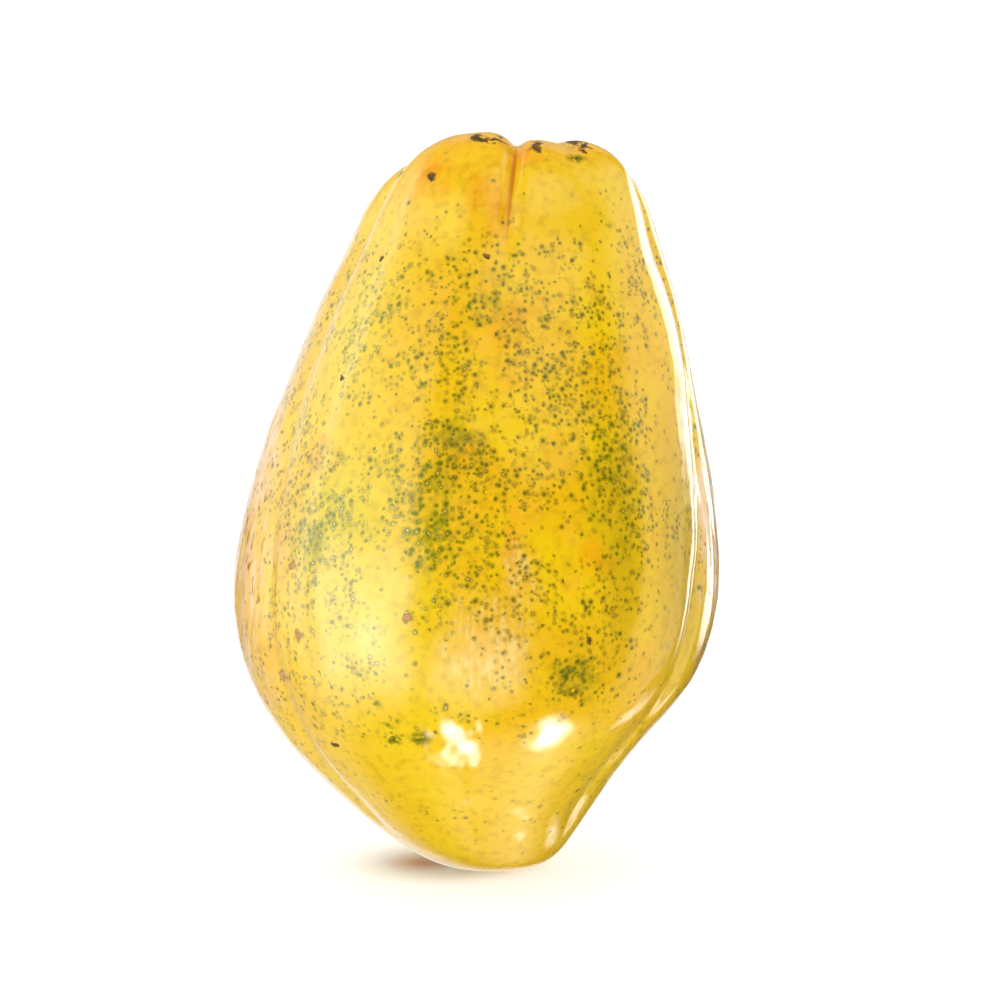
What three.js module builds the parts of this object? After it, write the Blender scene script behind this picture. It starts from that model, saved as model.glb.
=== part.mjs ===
// A whole ripe papaya, standing on the small flat spot at its blossom end.
//
// The fruit grew as one piece, so it is one closed solid. Five lobes run up it from the blossom
// end. Shallow valleys part them over the belly, and deep folds part them at the stem end, where
// they crowd round the hollow that the fruit stalk has left, with its corky scar at the bottom.
//
// Millimetres, +Z up. Azimuth is counted in degrees from the front, -Y, towards +X. "Climb" is the
// height on the outside of the fruit, and goes on growing past the rim, down into the hollow.
import * as THREE from "three";

// Driving dimensions.
const BELLY_RADIUS = 60.6; // where the fruit is widest
const BELLY_HEIGHT = 76; // height of that widest place
const RIM_RADIUS = 18; // top of the lobes, round the hollow
const RIM_HEIGHT = 179; // before the crown's own rises and falls
const HOLLOW_DEPTH = 10; // from the rim down to the stalk's scar
const SCAR_RADIUS = 6.5; // the round scar of the stalk
const SCAR_DOME = 0.8; // how far the scar's middle stands above its edge
const FLAT_SPOT_RADIUS = 12; // what the fruit stands on

// Mesh density: meridians crowd together at the folds, and rings at the crown.
const MERIDIANS_PER_LOBE = 16;
const MERIDIAN_CROWDING = 0.55; // 0 spaces them evenly, 1 pinches them to nothing at a fold
const BODY_RINGS = 36;
const CROWN_RINGS = 20;
const CROWN_START = 0.74; // share of the outline's length below the crown
const FLAT_SPOT_RINGS = [0, 0.5]; // shares of the flat spot's radius
const SCAR_RINGS = [0.55, 0]; // shares of the scar's radius

// The outline along a lobe's ridge, as [radius, height], from the flat spot's edge over the belly
// and the rim to the scar's edge.
const OUTLINE = [
  [FLAT_SPOT_RADIUS, 0],
  [16.6, 2],
  [23.4, 7.8],
  [34.2, 20],
  [45.6, 33],
  [55.6, 47.5],
  [BELLY_RADIUS - 0.6, BELLY_HEIGHT - 14],
  [BELLY_RADIUS, BELLY_HEIGHT],
  [57.4, 98],
  [51.4, 120],
  [44.2, 143],
  [38.8, 157],
  [35.6, 166],
  [31.4, 172.6],
  [25.4, 177],
  [RIM_RADIUS, RIM_HEIGHT],
  [12, RIM_HEIGHT - 2.4],
  [8.4, RIM_HEIGHT - 6.4],
  [SCAR_RADIUS, RIM_HEIGHT - HOLLOW_DEPTH],
];

// How far the middle of a ring lies to the right and to the back, as [height, shift].
const LEAN_X = [
  [0, 2],
  [14, -3.2],
  [30, -5],
  [48, -3],
  [70, -2],
  [96, -0.4],
  [124, 1.6],
  [152, 4.6],
  [RIM_HEIGHT, 7.8],
];
const LEAN_Y = [
  [0, 0],
  [50, -1],
  [110, 0.5],
  [RIM_HEIGHT, 1.5],
];

// The broad valleys between the lobes, as [climb, depth].
const VALLEY_DEPTH = [
  [0, 0],
  [18, 1.4],
  [72, 2.1],
  [115, 2],
  [140, 2.3],
  [158, 2.9],
  [172, 3.2],
  [179, 2.4],
  [184, 1.4],
  [189, 0],
];
const VALLEY_ROUNDNESS = 1.3; // 1 is a V, 2 is a smooth wave
const VALLEY_CHANGE = [110, 168]; // climb over which a valley goes from its belly to its crown share

// The folds between the lobes. Each lies at `azimuth` at the crown, and has turned by `turn` at the
// belly. It starts faintly at height `from`, and is at its full depth at the crown. `trace` is the
// depth of the line that goes on below, down to the blossom end. `valley` is how much of the broad
// valley lies along the fold, at the belly and at the crown.
const FOLDS = [
  { azimuth: 0, turn: 0, depth: 2.8, from: 148, width: 1.7, trace: 0, valley: [0.8, 0.25] },
  { azimuth: 81, turn: -20, depth: 4.2, from: 112, width: 3.2, trace: 1, valley: [1, 1] },
  { azimuth: 144, turn: -7, depth: 3.4, from: 138, width: 2.5, trace: 0.3, valley: [1.1, 0.9] },
  { azimuth: 216, turn: 5, depth: 3.6, from: 128, width: 2.8, trace: 0.4, valley: [1.15, 1] },
  { azimuth: 291, turn: 13, depth: 1.5, from: 118, width: 3.4, trace: 0.9, valley: [0.9, 0.45] },
];
const FOLD_TURN = [45, 150]; // climb over which the folds turn
const FOLD_FULL = 172; // climb at which a fold has its full depth
const FOLD_END = [171, 188]; // climb over which it fades out again, over the rim and in the hollow
const TRACE_START = [6, 30]; // climb over which the fine line fades in above the blossom end

// How far each lobe swells in or out at the belly.
const BELLY_SWELL = [0, -0.2, 0.6, 0.2, 0.2];
const SWELL_BAND = [12, 70, 150]; // climb at which a swell begins, is full, and is gone

// How the rim rises and falls round the crown, as [azimuth, rise].
const CROWN_RISE = [
  [0, 0.9],
  [16, 1],
  [33, 0.2],
  [50, 0.9],
  [69, -0.7],
  [104, -0.3],
  [141, -1],
  [178, 0.6],
  [216, -0.9],
  [254, -0.7],
  [291, -0.3],
  [322, 1.7],
  [342, 2.4],
  [360, 0.9],
];
const CROWN_FROM = 150; // height above which the rise and the tilt show
const CROWN_TILT = 0.09; // the crown falls away towards the back, mm per mm

// Soft dents and swells of the skin, placed by azimuth and height.
const BUMPS = [
  { azimuth: 33, height: 175, reach: 6, rise: -0.7 },
  { azimuth: 60, height: 174, reach: 7, rise: 1.3 },
  { azimuth: 92, height: 169, reach: 11, rise: -0.8 },
  { azimuth: 110, height: 158, reach: 18, rise: 1.2 },
  { azimuth: 76, height: 132, reach: 17, rise: 1.8 },
  { azimuth: 310, height: 176, reach: 8, rise: 1.1 },
  { azimuth: 97, height: 17, reach: 9, rise: 1.3 },
  { azimuth: 346, height: 40, reach: 15, rise: 0.7 },
  { azimuth: 17, height: 40, reach: 14, rise: 0.8 },
  { azimuth: 312, height: 96, reach: 22, rise: -0.5 },
  { azimuth: 160, height: 60, reach: 20, rise: -0.8 },
  { azimuth: 205, height: 112, reach: 18, rise: 0.7 },
  { azimuth: 250, height: 36, reach: 16, rise: 0.6 },
];
const GROUNDED = 8; // climb below which every shape fades out, so that the flat spot stays flat

const { smoothstep, lerp, degToRad, euclideanModulo } = THREE.MathUtils;
const LOBE_COUNT = FOLDS.length;
const MERIDIANS = LOBE_COUNT * MERIDIANS_PER_LOBE;
const SCAR_CLIMB = VALLEY_DEPTH.at(-1)[0];

// A value read smoothly between the rows of a [position, value] table.
function along(rows, position) {
  const next = rows.findIndex(([at]) => at > position);
  if (next === 0) return rows[0][1];
  if (next < 0) return rows.at(-1)[1];
  const [from, a] = rows[next - 1];
  const [to, b] = rows[next];
  return lerp(a, b, smoothstep(position, from, to));
}

// A lean that passes through its stations in one even curve, found by halving the interval.
function leanCurve(rows) {
  const curve = new THREE.SplineCurve(rows.map(([height, shift]) => new THREE.Vector2(height, shift)));
  return (height) => {
    let low = 0;
    let high = 1;
    while (high - low > 1e-5) {
      const middle = (low + high) / 2;
      if (curve.getPoint(middle).x < height) low = middle;
      else high = middle;
    }
    return curve.getPoint(low).y;
  };
}
const leanX = leanCurve(LEAN_X);
const leanY = leanCurve(LEAN_Y);

// The azimuth of a fold at a ring.
function foldAzimuth(fold, ring) {
  return fold.azimuth + fold.turn * (1 - smoothstep(ring.climb, ...FOLD_TURN));
}

// Where the lobe after a fold begins and ends at a ring.
function lobeSpan(index, ring) {
  const next = (index + 1) % LOBE_COUNT;
  return [foldAzimuth(FOLDS[index], ring), foldAzimuth(FOLDS[next], ring) + (next === 0 ? 360 : 0)];
}

// The azimuth of a meridian at a ring, crowded towards the folds.
function meridianAzimuth(number, ring) {
  const [start, end] = lobeSpan(Math.floor(number / MERIDIANS_PER_LOBE), ring);
  const share = (number % MERIDIANS_PER_LOBE) / MERIDIANS_PER_LOBE;
  const wave = Math.sin(2 * Math.PI * share) / (2 * Math.PI);
  return lerp(start, end, share - MERIDIAN_CROWDING * wave);
}

// The rings of the fruit from the flat spot's middle to the scar's middle. Each has its radius,
// height and climb, and the direction in which its skin moves out.
function makeRings() {
  const stations = OUTLINE.map(([radius, height]) => new THREE.Vector3(radius, height, 0));
  const curve = new THREE.CatmullRomCurve3(stations, false, "centripetal");
  const rings = FLAT_SPOT_RINGS.map((share) => ({
    radius: share * FLAT_SPOT_RADIUS,
    height: 0,
    climb: 0,
    out: new THREE.Vector2(0, -1),
  }));
  let pastRim = false;
  for (let n = 0; n <= BODY_RINGS + CROWN_RINGS; n++) {
    const crownShare = (n - BODY_RINGS) / CROWN_RINGS;
    const at = crownShare < 0 ? (n / BODY_RINGS) * CROWN_START : lerp(CROWN_START, 1, crownShare);
    const point = curve.getPointAt(at);
    const tangent = curve.getTangentAt(at);
    pastRim ||= crownShare > 0 && tangent.y < 0;
    rings.push({
      radius: point.x,
      height: point.y,
      climb: pastRim ? 2 * RIM_HEIGHT - point.y : point.y,
      out: new THREE.Vector2(tangent.y, -tangent.x),
    });
  }
  const scarHeight = rings.at(-1).height;
  for (const share of SCAR_RINGS) {
    rings.push({
      radius: share * SCAR_RADIUS,
      height: scarHeight + SCAR_DOME * (1 - share * share),
      climb: SCAR_CLIMB,
      out: new THREE.Vector2(0, 1),
    });
  }
  return rings;
}

// How far a place on a ring lies from an azimuth, over the skin.
function across(azimuth, other, ring) {
  const apart = Math.abs(euclideanModulo(azimuth - other + 180, 360) - 180);
  return degToRad(apart) * ring.radius;
}

// A soft hill, 1 at the middle and gone at about twice its reach.
function hill(away, reach) {
  return Math.exp(-((away / reach) ** 2));
}

// How deep the narrow folds cut in at a place.
function foldDepth(azimuth, ring) {
  const fade = 1 - smoothstep(ring.climb, ...FOLD_END);
  const traceIn = smoothstep(ring.climb, ...TRACE_START);
  let depth = 0;
  for (const fold of FOLDS) {
    const open = smoothstep(ring.climb, fold.from, FOLD_FULL);
    const full = lerp(fold.trace * traceIn, fold.depth, open);
    depth += full * hill(across(azimuth, foldAzimuth(fold, ring), ring), fold.width);
  }
  return depth * fade;
}

// How much of the broad valley a fold has at a ring.
function valleyShare(fold, ring) {
  const [belly, crown] = fold.valley;
  return lerp(belly, crown, smoothstep(ring.climb, ...VALLEY_CHANGE));
}

// How far the dents and swells move the skin out at a place.
function bumpRise(azimuth, ring) {
  if (ring.climb > RIM_HEIGHT) return 0;
  let rise = 0;
  for (const bump of BUMPS) {
    const away = Math.hypot(across(azimuth, bump.azimuth, ring), ring.height - bump.height);
    rise += bump.rise * hill(away, bump.reach);
  }
  return rise;
}

// How far the lobes, folds and bumps together move the skin out at a place.
function skinOut(azimuth, ring) {
  const index = FOLDS.findLastIndex((fold) => foldAzimuth(fold, ring) <= azimuth);
  const [start, end] = lobeSpan(index, ring);
  const share = (azimuth - start) / (end - start);
  const ridge = Math.sin(Math.PI * share);
  const valley = lerp(
    valleyShare(FOLDS[index], ring),
    valleyShare(FOLDS[(index + 1) % LOBE_COUNT], ring),
    smoothstep(share, 0, 1),
  );
  const [begins, full, gone] = SWELL_BAND;
  const belly = smoothstep(ring.climb, begins, full) * (1 - smoothstep(ring.climb, full, gone));
  const out =
    BELLY_SWELL[index] * ridge * belly +
    bumpRise(azimuth, ring) -
    valley * along(VALLEY_DEPTH, ring.climb) * (1 - ridge ** VALLEY_ROUNDNESS) -
    foldDepth(azimuth, ring);
  return out * smoothstep(ring.climb, 0, GROUNDED);
}

// Where the skin is at an azimuth from 0 to 360 on a ring.
function skinPoint(azimuth, ring) {
  const out = skinOut(azimuth, ring);
  const radius = ring.radius + out * ring.out.x;
  const angle = degToRad(azimuth);
  const back = -radius * Math.cos(angle);
  const crown = smoothstep(ring.climb, CROWN_FROM, RIM_HEIGHT);
  const rise = along(CROWN_RISE, azimuth) * (1 - smoothstep(ring.climb, RIM_HEIGHT, SCAR_CLIMB));
  return new THREE.Vector3(
    leanX(ring.height) + radius * Math.sin(angle),
    leanY(ring.height) + back,
    ring.height + out * ring.out.y + crown * (rise - CROWN_TILT * back),
  );
}

// The fruit: a lathe turned on the rings, with each vertex moved to its place on the skin.
function makeFruit() {
  const rings = makeRings();
  const profile = rings.map((ring) => new THREE.Vector2(ring.radius, ring.height));
  const geometry = new THREE.LatheGeometry(profile, MERIDIANS);
  const position = geometry.getAttribute("position");
  for (let n = 0; n < position.count; n++) {
    const meridian = Math.floor(n / rings.length) % MERIDIANS;
    const ring = rings[n % rings.length];
    const point = skinPoint(meridianAzimuth(meridian, ring), ring);
    position.setXYZ(n, point.x, point.y, point.z);
  }
  // The bounding box's bottom centre goes to the origin, with the flat spot on z = 0.
  geometry.computeBoundingBox();
  const centre = geometry.boundingBox.getCenter(new THREE.Vector3());
  geometry.translate(-centre.x, -centre.y, 0);
  geometry.computeVertexNormals();
  return geometry;
}

const skin = new THREE.MeshStandardMaterial({ color: "#e9b824", roughness: 0.3, metalness: 0 });
const papaya = new THREE.Mesh(makeFruit(), skin);
papaya.name = "papaya";

const part = new THREE.Group();
part.add(papaya);
export default part;
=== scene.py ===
"""A ripe papaya standing on its blossom end, on a white studio table.

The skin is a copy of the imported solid, merged into quads, subdivided and given its fine relief. Its
dots, stains and scabs are placed by where they lie on the fruit. Places, and the sizes of the
material's patterns, are in millimetres.
"""
import math
from collections import namedtuple

import bpy
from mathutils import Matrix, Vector, noise


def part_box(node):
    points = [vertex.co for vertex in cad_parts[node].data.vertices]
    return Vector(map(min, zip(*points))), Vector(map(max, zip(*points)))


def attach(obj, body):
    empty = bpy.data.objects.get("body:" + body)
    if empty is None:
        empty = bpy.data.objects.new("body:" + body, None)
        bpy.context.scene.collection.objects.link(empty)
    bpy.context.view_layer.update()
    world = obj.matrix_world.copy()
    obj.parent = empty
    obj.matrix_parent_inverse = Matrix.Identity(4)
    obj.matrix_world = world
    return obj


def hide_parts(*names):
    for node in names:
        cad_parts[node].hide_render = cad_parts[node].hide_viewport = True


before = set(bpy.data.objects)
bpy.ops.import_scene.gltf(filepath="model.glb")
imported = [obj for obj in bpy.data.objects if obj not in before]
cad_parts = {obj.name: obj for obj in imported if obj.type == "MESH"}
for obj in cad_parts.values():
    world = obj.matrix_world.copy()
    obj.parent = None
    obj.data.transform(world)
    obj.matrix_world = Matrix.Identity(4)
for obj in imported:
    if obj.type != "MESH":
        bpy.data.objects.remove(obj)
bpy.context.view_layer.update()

MM = 0.001
FRUIT_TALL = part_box("papaya")[1].z / MM


# Colours -------------------------------------------------------------------------------------------


def paint(red, green, blue):
    """A colour given from 0 to 255 as a painter's chart does, turned into light for a shader."""
    def light(value):
        share = value / 255
        return share / 12.92 if share <= 0.04045 else ((share + 0.055) / 1.055) ** 2.4
    return (light(red), light(green), light(blue), 1.0)


GOLD = paint(248, 204, 2)
AMBER = paint(244, 190, 2)
# Painted shade on the right lobe.
PAINTED_SHADE_OLIVE = paint(208, 170, 6)
LEMON = paint(248, 214, 38)
LEMON_GREEN = paint(226, 208, 24)
APRICOT = paint(252, 186, 40)
DEEP_ORANGE = paint(248, 168, 4)
PEACH = paint(250, 196, 80)
LEAF_GREEN = paint(146, 146, 0)
DARK_GREEN = paint(84, 94, 4)
DOT_GREEN = paint(96, 92, 4)
DOT_LEAF = paint(106, 124, 18)
DOT_BROWN = paint(138, 88, 4)
HALO_GREEN = paint(142, 136, 0)
CREAM = paint(255, 238, 160)
PALE_AMBER = paint(238, 186, 74)
# Painted shade in the folds.
FOLD_SHADE_RED = paint(206, 104, 4)
SCAB_DARK = paint(92, 70, 26)
SCAB_BROWN = paint(148, 106, 34)
SCAB_PINK = paint(214, 158, 112)
SCAB_RING = paint(140, 112, 50)
RUSSET = paint(140, 84, 30)
FLANK_PALE = paint(252, 214, 168)
FLANK_PEACH = paint(244, 190, 92)
CORK = paint(158, 126, 84)
CORK_DARK = paint(92, 68, 42)
# Painted highlight on the right flank.
PAINTED_HIGHLIGHT_PALE = paint(255, 234, 206)
ORANGE_TAN = paint(212, 160, 62)


# Spots of the skin, each as (middle, reach) --------------------------------------------------------

# Dark scabs on the rim of the stalk end, six in front and four round the sides and back.
RIM_SCABS = (
    ((1.4, -23.0, 181.4), (3.8, 6.0, 1.6)),
    ((5.4, -23.4, 180.6), (2.6, 6.0, 1.3)),
    ((14.6, -24.0, 179.3), (2.4, 6.0, 3.2)),
    ((23.4, -16.0, 180.4), (3.8, 6.0, 1.4)),
    ((26.6, -19.0, 178.9), (3.2, 6.0, 1.2)),
    ((-18.1, -16.3, 173.4), (2.4, 5.0, 3.0)),
    ((-9.4, -2.2, 178.3), (2.2, 3.4, 2.0)),
    ((-4.2, 10.4, 176.8), (2.6, 2.6, 2.0)),
    ((8.2, 18.4, 177.8), (3.6, 2.4, 2.0)),
    ((27.0, 11.4, 177.4), (2.4, 3.4, 2.0)),
)
# Dark specks.
SMALL_SCABS = (
    ((-10.1, -27.6, 171.9), (1.5, 3.0, 1.7)),
    ((26.8, -55.2, 65.3), (0.8, 3.0, 1.1)),
    ((3.0, -38.5, 153.2), (1.0, 3.0, 1.0)),
    ((-22.3, -27.1, 152.5), (1.0, 3.0, 1.1)),
    ((-33.3, -38.8, 37.5), (2.0, 3.0, 1.0)),
    ((-31.3, -34.6, 124.6), (0.9, 3.0, 1.1)),
    ((38.0, 34.0, 92.0), (1.6, 3.0, 1.6)),
    ((-20.0, 52.0, 64.0), (1.6, 3.0, 2.0)),
)
# Healed scabs, pink inside a brown ring.
PINK_SCABS = (
    ((-15.3, -59.2, 71.2), (1.6, 3.0, 1.6)),
    ((-41.7, -43.8, 64.7), (1.3, 3.0, 1.8)),
    ((-46.0, -32.9, 53.3), (1.4, 3.0, 2.2)),
    ((-43.1, -40.1, 80.8), (1.1, 3.0, 1.3)),
)
PINK_INSIDE = 0.8  # the share of a healed scab that lies inside its ring
STALK_SCAR = ((7.2, 1.7, 169.4), (6.6, 6.6, 4.0))
BLOSSOM_SCAR = ((4.2, -0.4, 0.0), (4.6, 4.6, 4.0))
# Where the skin is weathered and finely ridged.
FLANKS = (
    ((-58, -10, 84), (27, 46, 72)),
    ((60, -6, 84), (15, 32, 48)),
)
# A painted highlight: a pale patch on the right flank.
PAINTED_HIGHLIGHT_SIDE = ((57, -15, 88), (6, 12, 36))
TANNED_SIDE = ((56, -12, 54), (9, 14, 12))
# Low swellings of the skin.
SWELLINGS = (
    ((-2, -52.5, 39), (10, 14, 18)),
    ((4, -34, 17), (26, 14, 12)),
)
GREEN_BLOTCHES = (
    ((-12.4, -52.1, 41.6), (3.6, 6.0, 2.8)),
    ((-18.8, -50.6, 41.0), (2.8, 6.0, 2.2)),
    ((21.7, -57.0, 57.0), (2.6, 6.0, 3.4)),
    ((23.4, -55.6, 53.0), (3.2, 6.0, 2.4)),
    ((24.0, -22.9, 176.2), (4.0, 5.0, 1.4)),
)
# Where the green has not yet left the skin.
GREEN_WASHES = (
    ((-9, -56, 93), (11, 16, 24)),
    ((-3, -52, 110), (9, 14, 10)),
    ((5, -41, 144), (9, 12, 11)),
    ((-36, -42, 88), (15, 16, 15)),
    ((32, -47, 100), (15, 16, 24)),
    ((25, -55, 57), (10, 12, 13)),
)
LEFT_GREEN = ((-32, -48, 92), (24, 24, 34))
# Painted shade: olive over the right lobe, which gets less light.
PAINTED_SHADE_LOBE = (
    ((52, -34, 82), (18, 26, 60)),
    ((34, -47, 84), (9, 16, 40)),
)
ORANGE_CROWN = (
    ((3, -33, 168), (9, 14, 26)),
    ((-10, -27, 173), (13, 16, 10)),
    ((13, -28, 177), (8, 12, 6)),
)
ORANGE_CLOUDS = (
    ((-36, -36, 105), (5, 12, 9)),
    ((8, -56, 86), (4, 10, 16)),
    ((-2, -52, 108), (9, 12, 8)),
    ((28, -52, 84), (7, 12, 8)),
    ((8, -42, 138), (7, 12, 12)),
)
PEACH_BAND = (
    ((3, -60, 64), (15, 14, 17)),
    ((9, -58, 79), (6, 14, 16)),
)
LEMON_SIDE = (
    ((-25, -52, 72), (34, 40, 70)),
    ((-30, -30, 135), (26, 34, 50)),
)
# Where hardly a dot lies.
BARE_SKIN = (
    ((46, -28, 124), (14, 24, 30)),
    ((48, -34, 58), (18, 26, 44)),
    ((2, -46, 30), (40, 24, 20)),
)

# Heights on the fruit, each as (where a colour begins, where it is full).
# Painted light from the white table: paler lemon towards the foot.
PAINTED_LIGHT_FOOT = (58, 18)
LEMON_SHOULDER = (138, 165)
ORANGE_RIM = (172, 181)


# Modelling -----------------------------------------------------------------------------------------


def pick(piece):
    """Makes one piece the only one that the next operators act on."""
    bpy.ops.object.select_all(action="DESELECT")
    piece.select_set(True)
    bpy.context.view_layer.objects.active = piece


def apply_modifier(piece, kind, **settings):
    """Adds a modifier, sets it, and applies it."""
    modifier = piece.modifiers.new(kind.title(), kind)
    for name, value in settings.items():
        setattr(modifier, name, value)
    pick(piece)
    bpy.ops.object.modifier_apply(modifier=modifier.name)


def copy_of_solid(node, name):
    """A copy of a CAD solid, merged and turned back into quads."""
    pick(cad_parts[node])
    bpy.ops.object.duplicate()
    piece = bpy.context.active_object
    piece.name = name
    piece.data.name = name
    piece.parent = None
    for key in [key for key in piece.keys() if key.startswith("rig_")]:
        del piece[key]
    bpy.ops.object.mode_set(mode="EDIT")
    bpy.ops.mesh.select_all(action="SELECT")
    bpy.ops.mesh.remove_doubles(threshold=0.001 * MM)
    bpy.ops.mesh.tris_convert_to_quads(face_threshold=math.pi, shape_threshold=math.pi)
    bpy.ops.object.mode_set(mode="OBJECT")
    return piece


def mark_folds(piece):
    """Keeps how hollow the skin is at each place as a colour that the material reads."""
    pick(piece)
    piece.data.color_attributes.new("hollow", "FLOAT_COLOR", "CORNER")
    bpy.ops.paint.vertex_color_dirt(
        blur_strength=1, blur_iterations=1, clean_angle=math.pi, dirt_angle=0, dirt_only=False,
        normalize=False,
    )


def fade(value, low, high):
    """0 where value is at low, 1 where it is at high, and smooth between."""
    share = min(max((value - low) / (high - low), 0), 1)
    return share * share * (3 - 2 * share)


def nearness(place, middle, reach):
    """1 at the middle of a spot and 0 at its rim."""
    away = [(place[axis] - middle[axis]) / reach[axis] for axis in range(3)]
    return fade(math.hypot(*away), 1, 0)


# Rules that say, from 0 to 1, how much of a relief a place of the skin has.

FOOT = 12  # up to this height the relief fades away, so that the flat spot stays flat
RIDGE_STEP = 3.6  # degrees round the fruit from one ridge to the next
RIDGE_LENGTH = 46
RIDGE_GAIN = 1.6  # how fast the ridges come up from the rim of a flank


def off_ground(place):
    return fade(place.z, 0, FOOT)


def on_swellings(place):
    return max(nearness(place, middle, reach) for middle, reach in SWELLINGS)


def on_scabs(place):
    return max(nearness(place, middle, reach) for middle, reach in RIM_SCABS + PINK_SCABS)


def on_scars(place):
    return max(nearness(place, *STALK_SCAR), nearness(place, *BLOSSOM_SCAR) * off_ground(place))


def on_ridges(place):
    """Long uneven ridges that run down the fruit on its weathered flanks."""
    weathered = max(nearness(place, middle, reach) for middle, reach in FLANKS)
    if weathered == 0:
        return 0
    turn = math.degrees(math.atan2(place.x, -place.y))
    wave = noise.noise(Vector((turn / RIDGE_STEP, place.z / RIDGE_LENGTH, 0)))
    return min(weathered * RIDGE_GAIN, 1) * (0.5 + 0.5 * wave)


# The relief, layer on layer: the name of the vertex group that says where it is, the rule that fills
# the group, the height, the level of the pattern that stays in place, and the name, size and depth of
# the cloud pattern, if there is one.
RELIEF = (
    ("off_ground", off_ground, 0.45, 0.5, ("waviness", 13, 2)),
    ("off_ground", off_ground, 0.08, 0.5, ("dimples", 3.6, 1)),
    ("swellings", on_swellings, 0.4, 0, None),
    ("ridges", on_ridges, 0.5, 0, None),
    ("scabs", on_scabs, 0.5, 0.3, ("crust", 1.5, 1)),
    ("scars", on_scars, 1.4, 0.5, ("cork", 2.2, 2)),
)


def clouds(name, size, depth):
    """A soft cloud pattern for a Displace modifier."""
    texture = bpy.data.textures.new(name, "CLOUDS")
    texture.noise_scale = size * MM
    texture.noise_depth = depth
    return texture


def weigh(piece, name, rule):
    """Makes a vertex group that holds what a rule says, unless the piece has it."""
    if name in piece.vertex_groups:
        return
    group = piece.vertex_groups.new(name=name)
    for vertex in piece.data.vertices:
        group.add([vertex.index], rule(vertex.co / MM), "REPLACE")


def raise_relief(piece):
    for name, rule, height, level, pattern in RELIEF:
        weigh(piece, name, rule)
        settings = {"strength": height * MM, "mid_level": level, "vertex_group": name}
        if pattern:
            settings["texture"] = clouds(*pattern)
        apply_modifier(piece, "DISPLACE", **settings)


def make_skin():
    piece = copy_of_solid("papaya", "papaya_skin")
    mark_folds(piece)
    apply_modifier(piece, "SUBSURF", levels=2, render_levels=2)
    raise_relief(piece)
    pick(piece)
    bpy.ops.object.shade_smooth()
    return piece


# Shader nodes --------------------------------------------------------------------------------------


class Shader:
    """Adds nodes to a node tree, each with its inputs linked or set."""

    def __init__(self, tree):
        self.tree = tree

    def add(self, kind, inputs=(), **settings):
        node = self.tree.nodes.new(kind)
        for name, value in settings.items():
            setattr(node, name, value)
        for socket, value in dict(inputs).items():
            self.fill(node.inputs[socket], value)
        return node

    def fill(self, socket, value):
        if isinstance(value, bpy.types.NodeSocket):
            self.tree.links.new(value, socket)
        else:
            socket.default_value = value

    def math(self, operation, first, second=0.0):
        node = self.add("ShaderNodeMath", {0: first, 1: second}, operation=operation)
        return node.outputs[0]

    def product(self, *factors):
        result = factors[0]
        for factor in factors[1:]:
            result = self.math("MULTIPLY", result, factor)
        return result

    def most(self, *values):
        result = values[0]
        for value in values[1:]:
            result = self.math("MAXIMUM", result, value)
        return result

    def vector(self, operation, first, second):
        node = self.add("ShaderNodeVectorMath", {0: first, 1: second}, operation=operation)
        return node.outputs["Value" if operation in ("LENGTH", "DISTANCE", "DOT_PRODUCT") else "Vector"]

    def split(self, position):
        """The three outputs X, Y and Z of a position."""
        return self.add("ShaderNodeSeparateXYZ", {"Vector": position}).outputs

    def ramp(self, value, low, high):
        """0 where value is at low, 1 where it is at high, and smooth between. low may be above high."""
        node = self.add(
            "ShaderNodeMapRange",
            {"Value": value, "From Min": low, "From Max": high},
            interpolation_type="SMOOTHSTEP",
        )
        return node.outputs["Result"]

    def between(self, share, start, end):
        """start where the share is 0, end where it is 1, and straight between."""
        return self.math("ADD", start, self.math("MULTIPLY", share, end - start))

    def profile(self, value, points):
        """A smooth curve through points from (0, ...) to (1, ...)."""
        node = self.add("ShaderNodeFloatCurve", {"Value": value})
        line = node.mapping.curves[0].points
        line[0].location, line[-1].location = points[0], points[-1]
        for x, y in points[1:-1]:
            line.new(x, y)
        node.mapping.update()
        return node.outputs["Value"]

    def mix(self, share, first, second):
        node = self.add("ShaderNodeMix", data_type="RGBA")
        self.fill(node.inputs[0], share)
        self.fill(node.inputs[6], first)
        self.fill(node.inputs[7], second)
        return node.outputs[2]

    def number_mix(self, share, first, second):
        node = self.add("ShaderNodeMix", {0: share, 2: first, 3: second}, data_type="FLOAT")
        return node.outputs[0]

    def noise(self, position, size, detail=2.0, roughness=0.5):
        """Noise from 0 to 1 whose lumps are about `size` across."""
        node = self.add(
            "ShaderNodeTexNoise",
            {"Vector": position, "Scale": 1 / size, "Detail": detail, "Roughness": roughness},
        )
        return node.outputs["Fac"]

    def patches(self, position, size, low, high, detail=2.0, roughness=0.5):
        """Noise turned into patches: 0 where the noise is at low, 1 where it is at high."""
        return self.ramp(self.noise(position, size, detail, roughness), low, high)

    def stretched(self, position, stretch):
        """The position with one direction drawn out, for a pattern of streaks."""
        return self.add("ShaderNodeMapping", {"Vector": position, "Scale": stretch}).outputs["Vector"]

    def shaken(self, position, size, reach):
        """The position moved about by noise, for ragged outlines."""
        node = self.add("ShaderNodeTexNoise", {"Vector": position, "Scale": 1 / size, "Detail": 2.0})
        offset = self.vector("SUBTRACT", node.outputs["Color"], (0.5, 0.5, 0.5))
        moved = self.vector("MULTIPLY", offset, (2 * reach, 2 * reach, 2 * reach))
        return self.vector("ADD", position, moved)

    def place(self, group, inputs):
        """Places a node group. Its outputs are read by name."""
        node = self.add("ShaderNodeGroup", node_tree=group)
        for socket, value in inputs.items():
            self.fill(node.inputs[socket], value)
        return node.outputs


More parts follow.
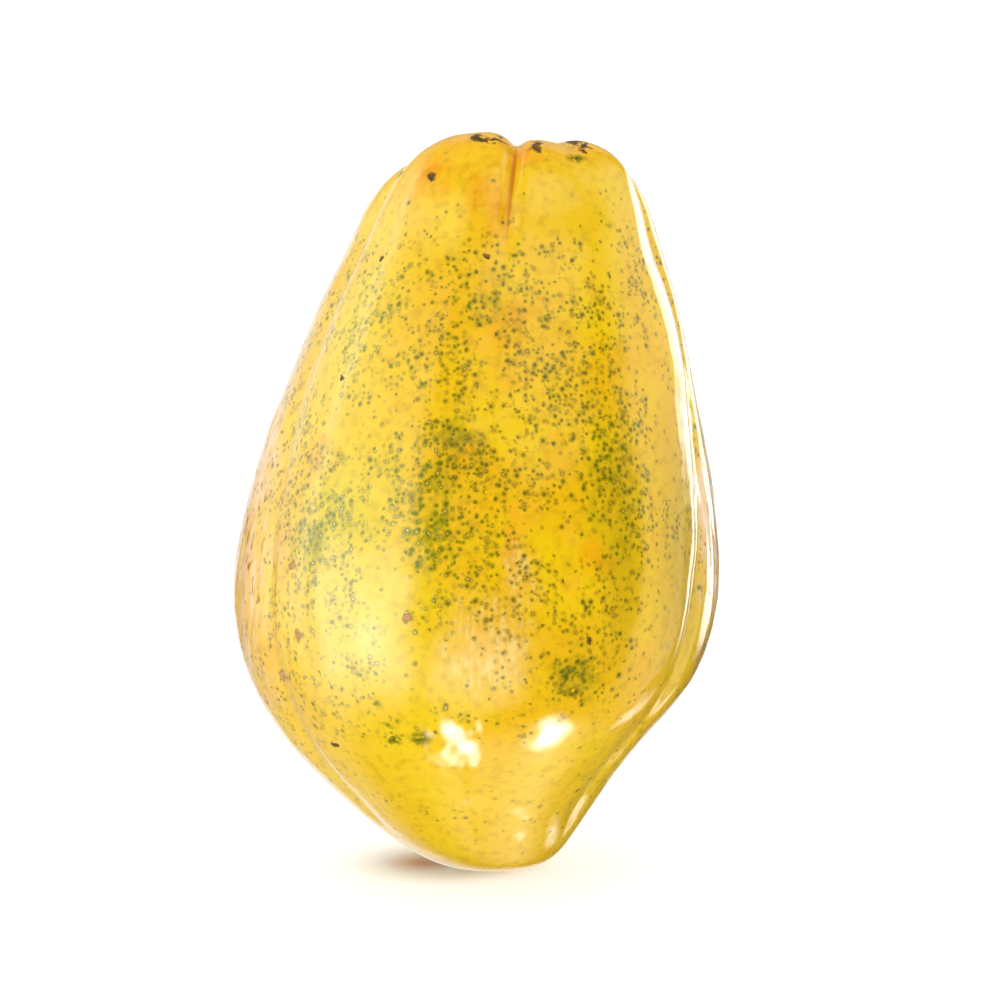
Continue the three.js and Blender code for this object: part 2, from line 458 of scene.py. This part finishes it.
def new_group(name, inputs, outputs):
    """An empty node group with named sockets: its shader, its input sockets and its output node."""
    tree = bpy.data.node_groups.new(name, "ShaderNodeTree")
    for socket, (kind, value) in inputs.items():
        made = tree.interface.new_socket(socket, in_out="INPUT", socket_type="NodeSocket" + kind)
        made.default_value = value
    for socket, kind in outputs.items():
        tree.interface.new_socket(socket, in_out="OUTPUT", socket_type="NodeSocket" + kind)
    shader = Shader(tree)
    return shader, shader.add("NodeGroupInput").outputs, shader.add("NodeGroupOutput").inputs


def make_patch_group():
    """Patch: a spot round a place, 1 in the middle and 0 outside, with an edge as soft as asked."""
    shader, given, result = new_group(
        "Patch",
        {"Position": ("Vector", (0, 0, 0)), "Place": ("Vector", (0, 0, 0)),
         "Reach": ("Vector", (1, 1, 1)), "Softness": ("Float", 1.0)},
        {"Mask": "Float"},
    )
    away = shader.vector("SUBTRACT", given["Position"], given["Place"])
    share = shader.vector("LENGTH", shader.vector("DIVIDE", away, given["Reach"]), (0, 0, 0))
    inner = shader.math("SUBTRACT", 1.0, given["Softness"])
    shader.fill(result["Mask"], shader.ramp(share, 1.0, inner))
    return shader.tree


def make_dot_grid_group():
    """Dot Grid: round dots that lie flat in the skin, each with two numbers of its own from 0 to 1."""
    shader, given, result = new_group(
        "Dot Grid",
        {"Position": ("Vector", (0, 0, 0)), "Facing": ("Vector", (0, 0, 1)),
         "Spacing": ("Float", 2.0), "Depth": ("Float", 1.0)},
        {"Away": "Float", "Near": "Float", "Chance": "Float", "Kind": "Float"},
    )
    cells = shader.add(
        "ShaderNodeTexVoronoi",
        {"Vector": given["Position"], "Scale": shader.math("DIVIDE", 1.0, given["Spacing"]),
         "Randomness": 1.0},
        feature="F1",
    ).outputs
    offset = shader.vector("SUBTRACT", given["Position"], cells["Position"])
    outwards = shader.vector("DOT_PRODUCT", offset, given["Facing"])
    lifted = shader.add(
        "ShaderNodeVectorMath", {0: given["Facing"], "Scale": outwards}, operation="SCALE"
    ).outputs["Vector"]
    along = shader.vector("SUBTRACT", offset, lifted)
    own_numbers = shader.add("ShaderNodeSeparateColor", {"Color": cells["Color"]}).outputs
    near = shader.ramp(shader.math("ABSOLUTE", outwards), given["Depth"], 0.0)
    shader.fill(result["Away"], shader.vector("LENGTH", along, (0, 0, 0)))
    shader.fill(result["Near"], near)
    shader.fill(result["Chance"], own_numbers["Red"])
    shader.fill(result["Kind"], own_numbers["Green"])
    return shader.tree


# How thickly the dots lie at each share of the fruit's height.
DOTS_BY_HEIGHT = (
    (0, 0.0), (0.08, 0.08), (0.16, 0.16), (0.24, 0.34), (0.35, 0.62), (0.47, 0.92), (0.60, 1.0),
    (0.70, 0.96), (0.79, 0.78), (0.86, 0.35), (0.91, 0.08), (1, 0.0),
)


def make_ripeness_group():
    """Ripeness: how thickly the dots lie at a place, and how its green gathers where they are."""
    shader, given, result = new_group(
        "Ripeness", {"Position": ("Vector", (0, 0, 0))}, {"Dots": "Float", "Green": "Float"},
    )
    position = given["Position"]
    height_share = shader.math("DIVIDE", shader.split(position)["Z"], FRUIT_TALL)
    band = shader.profile(height_share, DOTS_BY_HEIGHT)
    clumps = shader.patches(position, 5.5, 0.40, 0.56)
    drifts = shader.patches(position, 26, 0.30, 0.50, detail=1.0)
    patchy = shader.between(shader.math("MULTIPLY", clumps, drifts), 0.10, 1.0)
    shader.fill(result["Dots"], shader.math("MULTIPLY", patchy, band))
    shader.fill(result["Green"], shader.between(clumps, 0.4, 1.0))
    return shader.tree


# The skin's material -------------------------------------------------------------------------------


class SkinShader(Shader):
    """The skin's shader: the positions that its patterns are laid by, and its colour so far."""

    def __init__(self, tree, patch):
        super().__init__(tree)
        self.patch = patch
        coordinates = self.add("ShaderNodeTexCoord").outputs["Object"]
        self.position = self.add(
            "ShaderNodeMapping", {"Vector": coordinates, "Scale": (1 / MM, 1 / MM, 1 / MM)}
        ).outputs["Vector"]
        self.facing = self.add("ShaderNodeNewGeometry").outputs["Normal"]
        self.height = self.split(self.position)["Z"]
        self.ragged = self.shaken(self.position, size=1.6, reach=1.1)
        self.torn = self.shaken(self.position, size=3.0, reach=3.0)
        self.loose = self.shaken(self.position, size=9, reach=6)
        self.grain = self.stretched(self.position, (1.0, 1.0, 0.22))
        self.streaks = self.noise(self.grain, 1.05)
        self.colour = GOLD

    def lay(self, colour, mask, strength=1.0):
        """Lays a colour over the skin where the mask says."""
        share = mask if strength == 1.0 else self.math("MULTIPLY", mask, strength)
        self.colour = self.mix(share, self.colour, colour)

    def spots(self, position, places, softness=1.0):
        """One mask for a list of spots."""
        masks = [
            self.place(self.patch, {"Position": position, "Place": place, "Reach": reach,
                                    "Softness": softness})["Mask"]
            for place, reach in places
        ]
        return self.most(*masks)

    def eaten_spots(self, uneven, places):
        """Like spots, with edges eaten away by an uneven pattern."""
        near = self.spots(self.loose, places)
        eaten = self.ramp(self.math("ADD", near, uneven), 0.95, 1.75)
        return self.math("MULTIPLY", eaten, self.ramp(near, 0.0, 0.3))


def lay_ripe_colours(shader, lemon, peach):
    """Gold, with broad clouds of amber, apricot, lemon, orange and peach."""
    shader.lay(AMBER, shader.patches(shader.position, 24, 0.38, 0.62))
    shader.lay(APRICOT, shader.patches(shader.position, 10, 0.54, 0.68, detail=1.5), 0.4)
    # Painted light from the white table: lemon towards the foot.
    shader.lay(LEMON, shader.ramp(shader.height, *PAINTED_LIGHT_FOOT), 0.5)
    shader.lay(LEMON, shader.ramp(shader.height, *LEMON_SHOULDER), 0.4)
    shader.lay(LEMON, lemon, 0.8)
    shader.lay(LEMON_GREEN, shader.spots(shader.loose, (LEFT_GREEN,)), 0.7)
    streaky = shader.between(shader.patches(shader.grain, 5, 0.35, 0.6), 0.4, 1.0)
    crown = shader.math("MULTIPLY", shader.spots(shader.loose, ORANGE_CROWN), streaky)
    rim = shader.math("MULTIPLY", shader.ramp(shader.height, *ORANGE_RIM), 0.5)
    shader.lay(DEEP_ORANGE, shader.most(crown, rim))
    shader.lay(DEEP_ORANGE, shader.spots(shader.loose, ORANGE_CLOUDS), 0.75)
    shader.lay(PEACH, peach, 0.7)
    fibres = shader.product(shader.ramp(shader.streaks, 0.54, 0.36), shader.ramp(peach, 0.05, 0.45))
    shader.lay(CREAM, fibres, 0.32)


def lay_greens(shader, washes, gathered):
    """The green left in the skin, olive painted shade on the right lobe, and a fine brown mottling."""
    broken = shader.patches(shader.position, 2.8, 0.36, 0.60, detail=3.0, roughness=0.6)
    shader.lay(LEAF_GREEN, shader.product(washes, gathered, broken), 0.64)
    # Olive painted shade on the right lobe.
    shader.lay(PAINTED_SHADE_OLIVE, shader.spots(shader.position, PAINTED_SHADE_LOBE), 0.9)
    shader.lay(DOT_BROWN, shader.patches(shader.position, 2.4, 0.45, 0.75), 0.22)


def lay_weathering(shader):
    """The pale weathered flanks and a painted highlight. Their masks are handed back."""
    streaky = shader.stretched(shader.position, (1.0, 1.0, 0.45))
    uneven = shader.math("MULTIPLY", shader.noise(streaky, 11), 1.8)
    flank = shader.eaten_spots(uneven, FLANKS)
    shader.lay(FLANK_PEACH, flank, 0.6)
    pale_lines = shader.patches(shader.grain, 3.0, 0.42, 0.60)
    shader.lay(FLANK_PALE, shader.math("MULTIPLY", pale_lines, flank), 0.68)
    # A pale painted highlight on the right flank, eaten at its edges.
    painted_highlight = shader.eaten_spots(uneven, (PAINTED_HIGHLIGHT_SIDE,))
    shader.lay(PAINTED_HIGHLIGHT_PALE, painted_highlight, 0.45)
    shader.lay(ORANGE_TAN, shader.spots(shader.loose, (TANNED_SIDE,)), 0.8)
    return flank, painted_highlight


def lay_folds(shader):
    """Red-brown painted shade in the narrow valleys between the lobes, where the skin is hollow."""
    hollow = shader.add("ShaderNodeAttribute", attribute_name="hollow").outputs["Fac"]
    # Painted shade, laid by how hollow the skin is.
    shader.lay(FOLD_SHADE_RED, shader.ramp(hollow, 0.485, 0.445), 0.75)


# How the dots look at a place: their number, how green the skin is round them, the shares that have
# a pale corky middle and that are brown, and the colours of the rest and of the middles.
DotLook = namedtuple("DotLook", "dots greened pale_share brown_share tint middle_tint")

# Layers of dots: spacing, radius, share of the places that hold one, depth of colour.
DOT_LAYERS = (
    (1.65, 0.52, 1.0, 0.80),
    (2.25, 0.70, 0.8, 0.86),
    (1.3, 0.42, 0.8, 0.70),
)
# The parts of a dot, each as (where it ends, where it is full) in shares of the radius.
DOT_HALO = (1.9, 0.5)
DOT_DISC = (1.0, 0.35)
DOT_MIDDLE = (0.55, 0.2)
SEED_DEPTH = 0.55  # how far off the skin the seed of a dot may lie, in spacings


def lay_dot_layer(shader, grids, look, layer):
    """Halos, dots and pale middles of one layer."""
    spacing, radius, share, depth = layer
    grid = shader.place(grids, {"Position": shader.position, "Facing": shader.facing,
                                "Spacing": spacing, "Depth": SEED_DEPTH * spacing})
    away = grid["Away"]
    spare = shader.math("SUBTRACT", shader.math("MULTIPLY", look.dots, share), grid["Chance"])
    on = shader.math("MULTIPLY", shader.ramp(spare, -0.03, 0.05), grid["Near"])

    def part_of_dot(edge):
        end, full = edge
        return shader.math("MULTIPLY", shader.ramp(away, end * radius, full * radius), on)

    shader.lay(HALO_GREEN, shader.math("MULTIPLY", part_of_dot(DOT_HALO), look.greened))
    browned = shader.math("MULTIPLY", shader.ramp(grid["Kind"], 0.35, 0.6), look.brown_share)
    shader.lay(shader.mix(browned, look.tint, DOT_BROWN), part_of_dot(DOT_DISC), depth)
    pale = shader.math("LESS_THAN", shader.math("SUBTRACT", 1.0, grid["Kind"]), look.pale_share)
    shader.lay(look.middle_tint, shader.math("MULTIPLY", part_of_dot(DOT_MIDDLE), pale), 0.85)


def lay_dots(shader, thick, bare, lemon, peach, washes):
    """The dots: fresher green and paler in the middle on the lemon side, brown in the peach band."""
    leaning = shader.math("MINIMUM", shader.math("MULTIPLY", lemon, 1.6), 1.0)
    tint = shader.mix(leaning, DOT_GREEN, DOT_LEAF)
    look = DotLook(
        dots=shader.math("MULTIPLY", thick, shader.between(bare, 1.0, 0.15)),
        greened=shader.between(washes, 0.5, 1.0),
        pale_share=shader.between(lemon, 0.28, 0.58),
        brown_share=shader.between(leaning, 0.8, 0.1),
        tint=shader.mix(peach, tint, DOT_BROWN),
        middle_tint=shader.mix(leaning, PALE_AMBER, CREAM),
    )
    grids = make_dot_grid_group()
    for layer in DOT_LAYERS:
        lay_dot_layer(shader, grids, look, layer)


def lay_marks(shader, flank):
    """Strokes, blotches, scabs and scars. The mask of all that is scaly is handed back."""
    strokes = shader.ramp(shader.streaks, 0.53, 0.64)
    stroked = shader.patches(shader.position, 7, 0.40, 0.58, detail=1.0)
    russet = shader.product(strokes, stroked, flank, flank)
    shader.lay(RUSSET, russet, 0.8)
    speckled = shader.patches(shader.position, 1.6, 0.3, 0.5, detail=1.0)
    blotches = shader.math("MULTIPLY", shader.spots(shader.ragged, GREEN_BLOTCHES, 0.8), speckled)
    shader.lay(DARK_GREEN, blotches, 0.9)

    flecks = shader.patches(shader.position, 1.1, 0.5, 0.7)
    ring = shader.spots(shader.ragged, PINK_SCABS, 0.5)
    shader.lay(SCAB_RING, ring)
    insides = [(middle, Vector(reach) * PINK_INSIDE) for middle, reach in PINK_SCABS]
    inside = shader.spots(shader.ragged, insides, 0.5)
    shader.lay(shader.mix(flecks, SCAB_PINK, SCAB_RING), inside)
    rim_scabs = shader.spots(shader.torn, RIM_SCABS)
    scabs = shader.most(rim_scabs, shader.spots(shader.ragged, SMALL_SCABS, 0.9))
    shader.lay(SCAB_BROWN, shader.ramp(scabs, 0.04, 0.4))
    shader.lay(shader.mix(flecks, SCAB_DARK, SCAB_BROWN), shader.ramp(scabs, 0.25, 0.6))

    scars = shader.spots(shader.ragged, (STALK_SCAR, BLOSSOM_SCAR), 0.4)
    shader.lay(CORK_DARK, scars)
    worn = shader.patches(shader.position, 1.8, 0.38, 0.6)
    shader.lay(CORK, shader.math("MULTIPLY", shader.ramp(scars, 0.7, 1.0), worn))
    return shader.most(scabs, ring, russet, scars)


def skin_normal(shader, scaly):
    """Fine pores and long lines, and a rougher grain where the skin is scaly."""
    pores = shader.math("MULTIPLY", shader.noise(shader.position, 0.8), 0.06)
    lines = shader.math("MULTIPLY", shader.noise(shader.grain, 1.8, detail=1.0), 0.10)
    smooth = shader.add(
        "ShaderNodeBump", {"Height": shader.math("ADD", pores, lines), "Distance": MM}
    ).outputs["Normal"]
    rough = shader.add(
        "ShaderNodeBump",
        {"Height": shader.noise(shader.grain, 0.7), "Distance": 0.5 * MM, "Normal": smooth},
    ).outputs["Normal"]
    return shader.mix(scaly, smooth, rough)


def make_skin_material(patch):
    """Waxy skin: matt ripe colours with their marks under a thin clear coat."""
    material = bpy.data.materials.new("papaya_skin")
    material.use_nodes = True
    material.node_tree.nodes.clear()
    shader = SkinShader(material.node_tree, patch)
    ripeness = shader.place(make_ripeness_group(), {"Position": shader.position})
    lemon = shader.spots(shader.position, LEMON_SIDE)
    peach = shader.spots(shader.loose, PEACH_BAND)
    washes = shader.spots(shader.loose, GREEN_WASHES)

    lay_ripe_colours(shader, lemon, peach)
    lay_greens(shader, washes, ripeness["Green"])
    flank, painted_highlight = lay_weathering(shader)
    lay_folds(shader)
    # Few dots on the flanks, in the painted highlight and on bare skin.
    bare = shader.most(flank, painted_highlight, shader.spots(shader.position, BARE_SKIN, 0.6))
    thick = shader.most(ripeness["Dots"], shader.math("MULTIPLY", washes, 0.9))
    lay_dots(shader, thick, bare, lemon, peach, washes)
    scaly = lay_marks(shader, flank)

    surface = shader.add(
        "ShaderNodeBsdfPrincipled",
        {"Base Color": shader.colour, "Roughness": shader.between(scaly, 0.38, 0.78), "IOR": 1.45,
         "Specular IOR Level": 0.1, "Coat Weight": shader.between(scaly, 0.9, 0.1),
         "Coat Roughness": 0.07, "Coat IOR": 1.7, "Normal": skin_normal(shader, scaly)},
    )
    shader.add("ShaderNodeOutputMaterial", {"Surface": surface.outputs["BSDF"]})
    return material


# Studio --------------------------------------------------------------------------------------------

CAMERA_ELEVATION = math.radians(6)
CAMERA_TARGET = Vector((6, 0, 92)) * MM
CAMERA_DISTANCE = 694 * MM
CAMERA_LENS = 100
CAMERA_SENSOR = 36


def make_camera():
    bpy.ops.object.camera_add()
    camera = bpy.context.active_object
    camera.name = "camera"
    camera.data.lens = CAMERA_LENS
    camera.data.sensor_width = CAMERA_SENSOR
    back = Vector((0, -math.cos(CAMERA_ELEVATION), math.sin(CAMERA_ELEVATION)))
    camera.location = CAMERA_TARGET + back * CAMERA_DISTANCE
    camera.rotation_euler = (-back).to_track_quat("-Z", "Y").to_euler()
    bpy.context.scene.camera = camera


TABLE_SIZE = 8
TABLE_WHITE = (0.55, 0.56, 0.58, 1)
# Warm colour of the painted shadow under the fruit.
PAINTED_SHADOW_WARM = (0.62, 0.42, 0.36, 1)
# The table's own glow: far off; lower by the fruit, a painted contact shadow; lowest in a painted
# shadow under it.
TABLE_GLOW = (0.58, 0.59, 0.6, 1)
PAINTED_CONTACT_GLOW = (0.24, 0.245, 0.25, 1)
PAINTED_SHADOW_GLOW = (0.02, 0.015, 0.01, 1)
# A painted contact shadow: the table's glow is lower near the fruit.
CONTACT = Vector((-9, -1, 0)) * MM
PAINTED_CONTACT_SHADE = (10 * MM, 28 * MM)  # from here to there the table's own light comes up
# Painted shadow: under the fruit the table's glow and colour are darkened and warmed, as if by light
# off the fruit.
PAINTED_SHADOW_PLACE = Vector((-14, -1, 0)) * MM  # the deepest shade, warm with light off the fruit
PAINTED_SHADOW_REACH = Vector((12, 14, 10)) * MM


def make_floor(patch):
    """The table. It is out of reflections, which show the studio's lights under it instead."""
    bpy.ops.mesh.primitive_plane_add(size=TABLE_SIZE, location=(0, 0, 0))
    floor = bpy.context.active_object
    floor.name = "table"
    floor.visible_glossy = False
    material = bpy.data.materials.new("white_table")
    material.use_nodes = True
    surface = material.node_tree.nodes["Principled BSDF"]
    surface.inputs["Roughness"].default_value = 0.6
    surface.inputs["Specular IOR Level"].default_value = 0.2
    surface.inputs["Emission Strength"].default_value = 1.0
    shader = Shader(material.node_tree)
    place = shader.add("ShaderNodeTexCoord").outputs["Object"]
    away = shader.vector("DISTANCE", place, CONTACT)
    # Painted shadow: the glow is lower near the fruit, and low and warm under it.
    glow = shader.mix(shader.ramp(away, *PAINTED_CONTACT_SHADE), PAINTED_CONTACT_GLOW, TABLE_GLOW)
    under = shader.place(
        patch,
        {"Position": place, "Place": PAINTED_SHADOW_PLACE, "Reach": PAINTED_SHADOW_REACH, "Softness": 1.0},
    )["Mask"]
    shader.fill(surface.inputs["Emission Color"], shader.mix(under, glow, PAINTED_SHADOW_GLOW))
    shader.fill(surface.inputs["Base Color"], shader.mix(under, TABLE_WHITE, PAINTED_SHADOW_WARM))
    floor.data.materials.append(material)


# What the gloss of the skin mirrors. Sheets of paper and cloth: name, from and to azimuth counted
# from the front over the right, from and to elevation, softness of the sides, of the ends, brightness.
SHEETS = (
    ("right_paper", 86, 128, -40, 18, 4, 10, 0.60),
    ("right_paper_top", 80, 122, 14, 50, 14, 12, 0.8),
    ("right_strip", 130, 152, 2, 16, 2, 4, 3.8),
    ("right_strip_low", 140, 152, -15, 2, 2, 4, 3.0),
    ("back_paper", 150, 228, 0, 16, 3, 7, 1.05),
    ("high_back_paper", 150, 228, 16, 50, 3, 7, 0.35),
    ("low_back_paper", 168, 202, -50, 0, 6, 10, 1.0),
    ("low_left_paper", 204, 250, -50, -8, 6, 8, 0.42),
    ("left_paper", 228, 262, -12, 45, 6, 12, 1.1),
    ("left_haze", 252, 332, -46, 34, 9, 14, 1.35),
    ("umbrella", 272, 338, -32, 12, 9, 10, 2.2),
)
# Round lamps: name, direction, reach, softness, brightness. The glints lie under the table, as if
# mirrored in it.
LAMPS = (
    ("umbrella_middle", (-0.71, -0.66, -0.24), (0.3, 0.3, 0.3), 0.8, 1.5),
    ("front_wall", (0.37, -0.64, 0.67), (0.75, 0.6, 0.38), 0.7, 0.75),
    ("low_glow", (0.02, -0.8, -0.5), (0.42, 0.5, 0.5), 1.0, 1.9),
    ("table_sheen", (0.3, 0.1, -1), (0.5, 0.6, 0.6), 0.8, 0.8),
    ("low_right_sheen", (0.55, 0.58, -0.60), (0.10, 0.16, 0.3), 1.0, 2.5),
    ("left_glint", (-0.06, -0.36, -0.94), (0.085, 0.27, 0.6), 0.95, 16),
    ("left_glint_tail", (-0.015, -0.10, -0.99), (0.09, 0.19, 0.5), 0.95, 15),
    ("right_glint", (0.40, -0.08, -0.88), (0.19, 0.36, 0.5), 0.95, 16),
    ("right_glint_tail", (0.32, -0.04, -0.94), (0.15, 0.20, 0.5), 0.95, 11),
)
ROOM_DARK = 0.02
# What lights the matt colour of the skin and the table: an even white tent, brighter overhead and
# darker on the right and in front. Each fade is from and to a part of a direction, from -1 to 1.
TENT_SIDE = 0.66
TENT_TOP = 1.6
TENT_TOP_FADE = (0.05, 0.8)
TENT_RIGHT = 0.38  # how much less comes from the right
TENT_RIGHT_FADE = (0.2, 0.9)
TENT_FRONT = 0.2  # the share by which it is darker in front
TENT_FRONT_FADE = (0.0, -0.9)
BACKDROP = 1.3  # what the camera sees behind the fruit
FULL_TURN = 360


def mirrored_studio(shader, patch, direction):
    """How bright the room is in each direction, as the gloss mirrors it."""
    parts = shader.split(direction)
    turn = shader.math("ARCTAN2", parts["X"], shader.math("MULTIPLY", parts["Y"], -1.0))
    azimuth = shader.math("ADD", shader.math("DEGREES", turn), FULL_TURN)
    azimuth = shader.math("MODULO", azimuth, FULL_TURN)
    elevation = shader.math("DEGREES", shader.math("ARCSINE", parts["Z"]))
    bright = ROOM_DARK
    for name, left, right, low, high, side_soft, end_soft, radiance in SHEETS:
        sheet = shader.product(
            shader.ramp(azimuth, left - side_soft, left + side_soft),
            shader.ramp(azimuth, right + side_soft, right - side_soft),
            shader.ramp(elevation, low - end_soft, low + end_soft),
            shader.ramp(elevation, high + end_soft, high - end_soft),
            radiance,
        )
        sheet.node.label = name
        bright = shader.math("ADD", bright, sheet)
    for name, middle, reach, softness, radiance in LAMPS:
        lamp = shader.place(patch, {"Position": direction, "Place": middle, "Reach": reach,
                                    "Softness": softness})["Mask"]
        lamp.node.label = name
        bright = shader.math("ADD", bright, shader.math("MULTIPLY", lamp, radiance))
    return bright


def tent_light(shader, direction):
    """How bright the tent is in each direction."""
    parts = shader.split(direction)
    overhead = shader.math("MULTIPLY", shader.ramp(parts["Z"], *TENT_TOP_FADE), TENT_TOP - TENT_SIDE)
    darker = shader.math("MULTIPLY", shader.ramp(parts["X"], *TENT_RIGHT_FADE), TENT_RIGHT)
    tent = shader.math("SUBTRACT", shader.math("ADD", overhead, TENT_SIDE), darker)
    shade = shader.math("MULTIPLY", shader.ramp(parts["Y"], *TENT_FRONT_FADE), TENT_FRONT)
    return shader.math("MULTIPLY", tent, shader.math("SUBTRACT", 1.0, shade))


def make_world(patch):
    """The tent for matt colours, and sheets and lamps in a dark room for the gloss."""
    world = bpy.data.worlds.new("studio")
    bpy.context.scene.world = world
    world.use_nodes = True
    world.cycles.sampling_method = "NONE"
    world.node_tree.nodes.clear()
    shader = Shader(world.node_tree)
    direction = shader.add("ShaderNodeTexCoord").outputs["Generated"]
    path = shader.add("ShaderNodeLightPath").outputs
    tent = tent_light(shader, direction)
    mirrored = mirrored_studio(shader, patch, direction)
    strength = shader.number_mix(path["Is Glossy Ray"], tent, mirrored)
    strength = shader.number_mix(path["Is Camera Ray"], strength, BACKDROP)
    light = shader.add("ShaderNodeBackground", {"Color": (1, 1, 1, 1), "Strength": strength})
    shader.add("ShaderNodeOutputWorld", {"Surface": light.outputs["Background"]})


make_camera()
patch = make_patch_group()
skin = make_skin()
skin.data.materials.clear()
skin.data.materials.append(make_skin_material(patch))
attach(skin, "root")
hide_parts("papaya")
make_floor(patch)
make_world(patch)
bpy.context.scene.view_settings.view_transform = "Standard"
